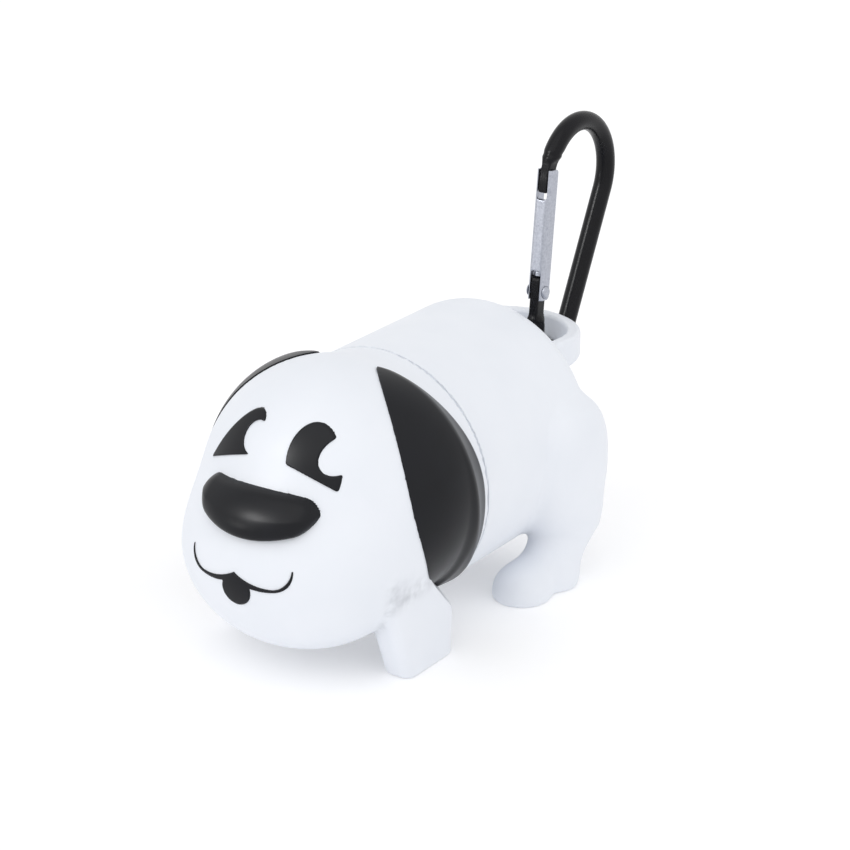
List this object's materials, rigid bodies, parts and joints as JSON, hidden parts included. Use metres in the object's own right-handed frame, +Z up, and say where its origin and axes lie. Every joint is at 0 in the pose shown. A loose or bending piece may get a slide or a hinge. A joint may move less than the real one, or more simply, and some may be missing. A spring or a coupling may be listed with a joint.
{
  "type": "bag dispenser",
  "caption": "Standing-dog bag dispenser: pull-off head, hollow barrel body with a rear port, bag roll inside, sprung clip on the tail loop.",
  "frame": {"origin": "on the floor, below the middle of the whole object: the parting plane of head and body is at y = -0.0183", "axes": "+X to the dog's left, +Y towards its tail along the barrel's axis, +Z up; the dog faces -Y"},
  "size_m": [0.0634, 0.1372, 0.0938],
  "materials": {
    "white_vinyl": "soft vinyl, satin, moulded",
    "black_vinyl": "soft vinyl, satin",
    "bag_film": "thin film, wound",
    "core_board": "grey-brown paper board, uncoated",
    "black_anodised": "black anodised, satin",
    "plated_steel": "zinc plated sheet"
  },
  "bodies": {
    "barrel": {"rear_shell": "white_vinyl"},
    "head": {"front_shell": "white_vinyl", "left_ear": "black_vinyl", "right_ear": "black_vinyl", "left_eye": "black_vinyl", "right_eye": "black_vinyl", "nose": "black_vinyl", "mouth": "black_vinyl"},
    "roll": {"bag_roll": "bag_film", "roll_core": "core_board"},
    "clip": {"carabiner_hook": "black_anodised"},
    "gate": {"carabiner_gate": "plated_steel", "gate_rivet": "plated_steel", "gate_plunger": "plated_steel", "gate_spring": "plated_steel"}
  },
  "joints": [
    {"name": "head_pull", "type": "slide", "parent": "barrel", "child": "head", "axis": [0, -1, 0], "range_m": [0, 0.068]},
    {"name": "roll_spin", "type": "hinge", "parent": "barrel", "child": "roll", "pos_m": [0, -0.0083, 0.02615], "axis": [0, 1, 0], "continuous": true},
    {"name": "clip_swing", "type": "hinge", "parent": "barrel", "child": "clip", "pos_m": [0, 0.0443, 0.047], "axis": [1, 0, 0], "range_deg": [-165, 45]},
    {"name": "gate_swing", "type": "hinge", "parent": "clip", "child": "gate", "pos_m": [0, 0.03858, 0.05607], "axis": [1, 0, 0], "range_deg": [-35, 0], "stiffness_Nm_per_rad": 0.03, "springref_deg": 17.19}
  ]
}
